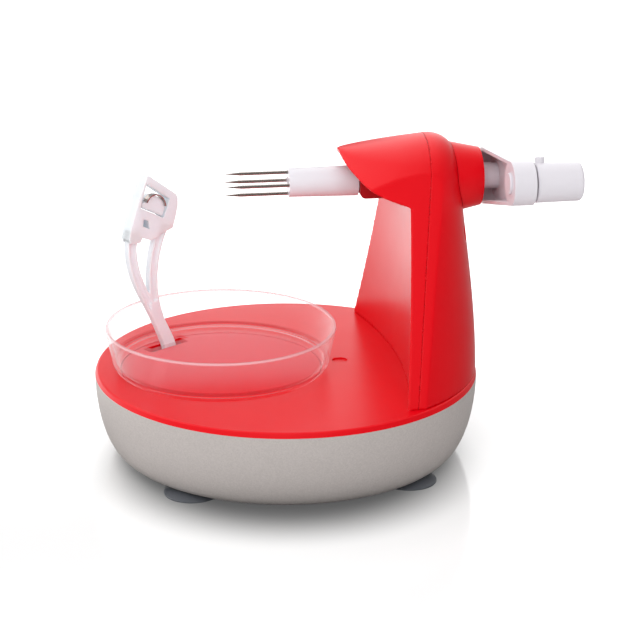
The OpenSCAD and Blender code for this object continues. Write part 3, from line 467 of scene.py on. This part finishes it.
def tower_skin(name, node, form, facing, cell_mm, rounds=14):
    """A moulded shell laid on the fair form, with soft edges but a fine, true joint line and foot."""
    piece = joined_copy(name, node, merge_faces=False)
    skin = piece.modifiers.new("Even skin", "REMESH")
    skin.mode = "VOXEL"
    skin.voxel_size = cell_mm * MM
    settle(piece)
    target = BVHTree.FromBMesh(form)
    joint_at = Vector((base_axis.x + (face_x - PARTING_FRONT) * MM, 0, foot_level))
    joint_way = Vector((math.cos(PARTING_LEAN), 0, -math.sin(PARTING_LEAN)))
    mesh = bmesh.new()
    mesh.from_mesh(piece.data)
    mesh.normal_update()
    laid, held, free = {}, {}, []
    for vert in mesh.verts:
        gap = (vert.co - joint_at).dot(joint_way)
        spot, way, _, away = target.find_nearest(vert.co, 0.9 * MM)
        faced = on_front_face(vert.co, vert.normal)
        at_joint = abs(gap) < 0.42 * MM and vert.normal.dot(joint_way) * facing > 0.3
        if at_joint and faced is None:
            near = vert.co - joint_way * (gap + facing * PARTING_GAP * MM)
            for _ in range(3 if spot and vert.normal.dot(way) > 0.2 else 0):
                near = target.find_nearest(near)[0]
                near -= joint_way * ((near - joint_at).dot(joint_way) + facing * PARTING_GAP * MM)
            held[vert] = near
        elif vert.co.z < foot_level + 0.3 * MM and vert.normal.z < -0.3:
            held[vert] = Vector((vert.co.x, vert.co.y, foot_level))
        elif faced:
            laid[vert] = faced
        elif spot and away < 0.6 * MM and vert.normal.dot(way) > 0.8:
            laid[vert] = spot
        elif facing > 0 and vert.normal.x < -0.3 and on_face_edge(vert.co, target):
            laid[vert] = on_face_edge(vert.co, target)
        else:
            free.append(vert)
    for places in (laid, held):
        for vert, spot in places.items():
            vert.co = spot
    ways = {"use_axis_x": True, "use_axis_y": True, "use_axis_z": True}
    for _ in range(rounds):
        bmesh.ops.smooth_vert(mesh, verts=free, factor=0.5, **ways)
    for _ in range(3):
        bmesh.ops.smooth_vert(mesh, verts=free + list(laid), factor=0.5, **ways)
    for face in mesh.faces:
        face.smooth = True
    mesh.to_mesh(piece.data)
    mesh.free()
    return dress(piece, node)


# The peeling arm is drawn in its own upright plane: along the slot, then height, in millimetres.
# Its inner and outer faces lie at ARM_RHO from the turntable's axis.

ARM_ANGLE = math.radians(125.4)
ARM_RHO = (37.05, 40.55)
PIN_Z = table_high.z / MM - 9
PIN_T = 0.9
EYE_R = 3.8
EYE_LEN = 8.6
ARM_CELL = 0.32
ARM_SOFTENING = 5
CHANNEL = 0.8
STEM = [(1.6, PIN_Z), (2.2, foot_z + 4.5), (-6.2, foot_z + 9.5), (-8.9, foot_z + 25)]
LEFT_PRONG = [(-6.3, foot_z + 13), (-10.8, foot_z + 26), (-25.8, foot_z + 41), (-20.6, foot_z + 62)]
RIGHT_PRONG = [(-4.5, foot_z + 13), (-10.6, foot_z + 27), (-12.0, foot_z + 44), (-1.8, foot_z + 62)]


def in_arm_plane(t, z, rho):
    out = Vector((math.cos(ARM_ANGLE), math.sin(ARM_ANGLE), 0))
    along = Vector((math.sin(ARM_ANGLE), -math.cos(ARM_ANGLE), 0))
    return Vector((table_axis.x, table_axis.y, 0)) + (out * rho + along * t + Vector((0, 0, z))) * MM


def bezier(points, share):
    terms = (1, 3, 3, 1)
    return sum((Vector(p) * (n * (1 - share) ** (3 - i) * share ** i)
                for i, (p, n) in enumerate(zip(points, terms))), Vector((0, 0)))


def limb(form, points, widths, groove=0.0, steps=48):
    """A flat limb of changing width along a Bezier curve, closed at both ends, with a shallow
    channel down its inner face."""
    rings = []
    for i in range(steps + 1):
        share = i / steps
        here = bezier(points, share)
        way = bezier(points, min(share + 0.01, 1)) - bezier(points, max(share - 0.01, 0))
        side = Vector((-way.y, way.x)).normalized() * (widths[0] + (widths[1] - widths[0]) * share) / 2
        # Share of the half width, then how far in from the inner face
        section = [(1, 0), (0.6, 0), (0.42, groove), (-0.42, groove), (-0.6, 0), (-1, 0)]
        corners = [(here + side * across, ARM_RHO[0] + sunk) for across, sunk in section]
        corners += [(here - side, ARM_RHO[1]), (here + side, ARM_RHO[1])]
        rings.append([form.verts.new(in_arm_plane(spot.x, spot.y, rho)) for spot, rho in corners])
    for low, high in zip(rings, rings[1:]):
        for k in range(8):
            form.faces.new((low[k], low[(k + 1) % 8], high[(k + 1) % 8], high[k]))
    form.faces.new(rings[0][::-1])
    form.faces.new(rings[-1])


def peeling_arm():
    """Forked arm, moulded in one: its limbs and eye are grown together, with soft edges and crotch.
    Its limbs have their own curves, near the solid's, and its eye has no bore for the pin."""
    form = bmesh.new()
    limb(form, STEM, (7.2, 5.4))
    limb(form, LEFT_PRONG, (4.4, 5.3), groove=CHANNEL)
    limb(form, RIGHT_PRONG, (4.6, 5.6), groove=CHANNEL)
    turn = Matrix.Rotation(ARM_ANGLE - math.pi / 2, 4, "Z") @ Matrix.Rotation(math.pi / 2, 4, "Y")
    eye_at = Matrix.Translation(in_arm_plane(PIN_T, PIN_Z, sum(ARM_RHO) / 2)) @ turn
    bmesh.ops.create_cone(form, cap_ends=True, segments=48, radius1=EYE_R * MM, radius2=EYE_R * MM,
                          depth=EYE_LEN * MM, matrix=eye_at)
    bmesh.ops.recalc_face_normals(form, faces=form.faces)
    mesh = bpy.data.meshes.new("peeling_arm")
    form.to_mesh(mesh)
    form.free()
    piece = put_in_scene("peeling_arm", mesh)
    skin = piece.modifiers.new("Grown together", "REMESH")
    skin.mode = "VOXEL"
    skin.voxel_size = ARM_CELL * MM
    settle(piece)
    soft = bmesh.new()
    soft.from_mesh(piece.data)
    for _ in range(ARM_SOFTENING):
        bmesh.ops.smooth_vert(soft, verts=soft.verts, factor=0.5, use_axis_x=True, use_axis_y=True,
                              use_axis_z=True)
    for face in soft.faces:
        face.smooth = True
    soft.to_mesh(piece.data)
    soft.free()
    return dress(piece, "peel_arm")


# The pieces

for node, piece in nodes.items():
    piece.data.materials.clear()
    piece.data.materials.append(finish_of(node))

fair_form = tower_form()
tower_skin("tower_front_skin", "tower_front_shell", fair_form, 1, 0.6)
tower_skin("tower_back_skin", "tower_rear_shell", fair_form, -1, 0.64)
fair_form.free()
peeling_arm()

for node, radius in {
    "base_bowl": 0.3, "top_lid": 0.3, "turntable": 0.3, "rear_collar": 0.6, "front_bearing_block": 0.6,
    "crank_arm": 0.8, "handle_knob": 0.5, "fork_sleeve": 0.5, "peeler_head": 0.9,
    "blade_carrier": 0.4, "dish": 0.3, "bottom_plate": 0.4, "suction_cup_front_left": 0.2,
    "suction_cup_front_right": 0.2, "suction_cup_back_left": 0.2, "suction_cup_back_right": 0.2,
}.items():
    edge_rounded("finished_" + node, node, radius)


# Floor, light and camera

LIGHT_LEVEL = 1.0
FLOOR_SIZE = 6.0
# Middle of the shade from the base's axis, its inner and outer radius, all in millimetres
SHADE_AT = (-3.5, -23)
SHADE_R = (54, 97)
CARD_Y = 0.27
CARD_MIDDLE = 0.121
CARD_HEIGHT = 0.24


def ramp_of(tree, value, span, levels):
    node = add(tree, "ShaderNodeMapRange", {"Value": value}, interpolation_type="SMOOTHSTEP")
    for key, number in zip(("From Min", "From Max", "To Min", "To Max"), span + levels):
        node.inputs[key].default_value = number
    return node.outputs["Result"]


def studio_floor():
    """White polished floor. The soft shade under the object is part of its colour, and it glows a
    little, more towards +Y. In the gloss it is dark on the -Y side and dimmer towards +X."""
    form = bmesh.new()
    bmesh.ops.create_grid(form, x_segments=1, y_segments=1, size=FLOOR_SIZE)
    mesh = bpy.data.meshes.new("floor")
    form.to_mesh(mesh)
    form.free()
    floor = put_in_scene("floor", mesh)
    material, tree, shader, place = new_material("white_sweep", Roughness=0.12, IOR=1.5)
    offset = add(tree, "ShaderNodeVectorMath", {0: place}, operation="SUBTRACT")
    offset.inputs[1].default_value = (base_axis.x + SHADE_AT[0] * MM, base_axis.y + SHADE_AT[1] * MM, 0)
    away = add(tree, "ShaderNodeVectorMath", {0: offset.outputs[0]}, operation="LENGTH")
    shade = ramp_of(tree, away.outputs["Value"], (SHADE_R[0] * MM, SHADE_R[1] * MM), (0.12, 0.93))
    depth = add(tree, "ShaderNodeSeparateXYZ", {"Vector": place})
    back = ramp_of(tree, depth.outputs["Y"], (-0.1, 0.3), (0.03, 0.93))
    side = ramp_of(tree, depth.outputs["X"], (0.08, 0.22), (1.0, 0.25))
    behind = add(tree, "ShaderNodeMath", {0: back, 1: side}, operation="MULTIPLY").outputs[0]
    rays = add(tree, "ShaderNodeLightPath")
    level = add(tree, "ShaderNodeMix", {"Factor": rays.outputs["Is Glossy Ray"], "A": shade, "B": behind})
    tree.links.new(level.outputs["Result"], shader.inputs["Base Color"])
    far = ramp_of(tree, depth.outputs["Y"], (0.05, 0.4), (0.0, 0.5))
    left = ramp_of(tree, depth.outputs["X"], (0.02, 0.14), (1.0, 0.1))
    glow = add(tree, "ShaderNodeMath", {0: far, 1: left}, operation="MULTIPLY")
    sweep = ramp_of(tree, depth.outputs["Y"], (0.02, 0.16), (0.1, 0.4))
    lift = add(tree, "ShaderNodeMix",
               {"Factor": rays.outputs["Is Glossy Ray"], "A": sweep, "B": glow.outputs[0]})
    seen = add(tree, "ShaderNodeMath", {0: rays.outputs["Is Camera Ray"], 1: rays.outputs["Is Glossy Ray"]},
               operation="MAXIMUM")
    lift = add(tree, "ShaderNodeMath", {0: lift.outputs["Result"], 1: seen.outputs[0]}, operation="MULTIPLY")
    shader.inputs["Emission Color"].default_value = (1, 1, 1, 1)
    tree.links.new(lift.outputs[0], shader.inputs["Emission Strength"])
    floor.data.materials.append(material)
    return floor


def reflection_card():
    """A card behind the object that only the gloss sees: lit below, dark from a little above its
    middle, and left out towards +X."""
    form = bmesh.new()
    upright = Matrix.Translation((0, CARD_Y, CARD_MIDDLE)) @ Matrix.Rotation(math.pi / 2, 4, "X")
    bmesh.ops.create_grid(form, x_segments=1, y_segments=1, size=0.5, matrix=upright)
    bmesh.ops.scale(form, verts=form.verts, vec=(1, 1, CARD_HEIGHT),
                    space=Matrix.Translation((0, 0, -CARD_MIDDLE)))
    mesh = bpy.data.meshes.new("reflection_card")
    form.to_mesh(mesh)
    form.free()
    card = put_in_scene("reflection_card", mesh)
    material, tree, shader, place = new_material("lit_card", Specular_IOR_Level=0.0)
    shader.inputs["Base Color"].default_value = (0, 0, 0, 1)
    shader.inputs["Emission Color"].default_value = (1, 1, 1, 1)
    split = add(tree, "ShaderNodeSeparateXYZ", {"Vector": place})
    high = ramp_of(tree, split.outputs["Z"], (0.06, 0.165), (3.1, 0.0))
    low = ramp_of(tree, split.outputs["Z"], (0.0, 0.09), (0.75, 1.0))
    band = add(tree, "ShaderNodeMath", {0: low, 1: high}, operation="MULTIPLY")
    tree.links.new(band.outputs[0], shader.inputs["Emission Strength"])
    left = ramp_of(tree, split.outputs["X"], (0.03, 0.11), (1.0, 0.0))
    rays = add(tree, "ShaderNodeLightPath")
    there = add(tree, "ShaderNodeMath", {0: left, 1: rays.outputs["Is Glossy Ray"]}, operation="MULTIPLY")
    tree.links.new(there.outputs[0], shader.inputs["Alpha"])
    card.data.materials.append(material)
    return card


def softbox(name, place, aim, size, power):
    """A large soft lamp, kept out of the gloss, which comes from the walls, the floor and the card."""
    data = bpy.data.lights.new(name, "AREA")
    data.shape = "RECTANGLE"
    data.size, data.size_y = size
    data.energy = power * LIGHT_LEVEL
    lamp = bpy.data.objects.new(name, data)
    lamp.location = place
    lamp.rotation_euler = (Vector(aim) - Vector(place)).to_track_quat("-Z", "Y").to_euler()
    lamp.visible_glossy = False
    bpy.context.scene.collection.objects.link(lamp)
    return lamp


def snooted_lamp(name, place, aim, width, power):
    """A lamp in a snoot, whose soft beam is aimed at the white arm's place at rest. It takes in most
    of the dish, the fork and part of the lid too."""
    data = bpy.data.lights.new(name, "SPOT")
    data.spot_size = width
    data.spot_blend = 1.0
    data.shadow_soft_size = 0.04
    data.energy = power * LIGHT_LEVEL
    lamp = bpy.data.objects.new(name, data)
    lamp.location = place
    lamp.rotation_euler = (Vector(aim) - Vector(place)).to_track_quat("-Z", "Y").to_euler()
    lamp.visible_glossy = False
    bpy.context.scene.collection.objects.link(lamp)
    return lamp


def studio_world():
    """Studio walls. They light the object more from above and from -X, and least from +X. In the
    gloss they are bright on the +Y side, white above, dark on the -Y side and dimmer towards +X."""
    world = bpy.data.worlds.new("studio")
    world.use_nodes = True
    world.cycles.sampling_method = "NONE"
    bpy.context.scene.world = world
    tree = world.node_tree
    rays = add(tree, "ShaderNodeLightPath")
    way = add(tree, "ShaderNodeTexCoord").outputs["Generated"]
    split = add(tree, "ShaderNodeSeparateXYZ", {"Vector": way})
    across = ramp_of(tree, split.outputs["X"], (-1.0, 1.0), (1.08, 0.36))
    upward = ramp_of(tree, split.outputs["Z"], (0.2, 1.0), (1.0, 1.5))
    lit = add(tree, "ShaderNodeMath", {0: across, 1: upward}, operation="MULTIPLY").outputs[0]
    behind = ramp_of(tree, split.outputs["Y"], (-0.4, 0.5), (0.0, 2.3))
    right = ramp_of(tree, split.outputs["X"], (0.2, 0.9), (1.0, 0.15))
    gloss = add(tree, "ShaderNodeMath", {0: behind, 1: right}, operation="MULTIPLY")
    wall = add(tree, "ShaderNodeMix",
               {"Factor": rays.outputs["Is Glossy Ray"], "A": lit, "B": gloss.outputs[0]})
    straight = add(tree, "ShaderNodeMath", {0: rays.outputs["Is Camera Ray"],
                                            1: rays.outputs["Is Transmission Ray"]}, operation="MAXIMUM")
    level = add(tree, "ShaderNodeMix", {"Factor": straight.outputs[0], "A": wall.outputs["Result"]})
    level.inputs["B"].default_value = 1.0
    walls = tree.nodes["Background"]
    walls.inputs["Color"].default_value = (1, 1, 1, 1)
    tree.links.new(level.outputs["Result"], walls.inputs["Strength"])


# Camera, fitted to the base's rim, the dish, the tower and the crank in the photograph
CAMERA_TURN = math.radians(8.117)
CAMERA_RISE = math.radians(19.085)
CAMERA_AWAY = 0.9924
CAMERA_AIM = Vector((base_axis.x, base_axis.y, 0.0606))
CAMERA_FOCUS_PX = 2108.08
CAMERA_CENTRE_PX = (285.641, 325.35)
FRAME_PX = 640


def photo_camera():
    data = bpy.data.cameras.new("photo_camera")
    camera = bpy.data.objects.new("photo_camera", data)
    turn, rise = CAMERA_TURN, CAMERA_RISE
    look = Vector((math.sin(turn) * math.cos(rise), math.cos(turn) * math.cos(rise), -math.sin(rise)))
    camera.location = CAMERA_AIM - look * CAMERA_AWAY
    camera.rotation_euler = look.to_track_quat("-Z", "Y").to_euler()
    data.sensor_width = 36
    data.lens = data.sensor_width * CAMERA_FOCUS_PX / FRAME_PX
    data.shift_x = (FRAME_PX / 2 - CAMERA_CENTRE_PX[0]) / FRAME_PX
    data.shift_y = (CAMERA_CENTRE_PX[1] - FRAME_PX / 2) / FRAME_PX
    data.clip_start = 0.01
    bpy.context.scene.collection.objects.link(camera)
    bpy.context.scene.camera = camera
    return camera


studio_floor()
reflection_card()
studio_world()
softbox("key_softbox", (-0.15, -1.1, 0.8), (0, 0, 0.06), (1.0, 1.0), 5)
snooted_lamp("arm_lamp", (0.19, -0.48, 0.23), (-0.08, 0.026, 0.09), math.radians(16), 3.6)
photo_camera()
bpy.context.scene.view_settings.view_transform = "Standard"
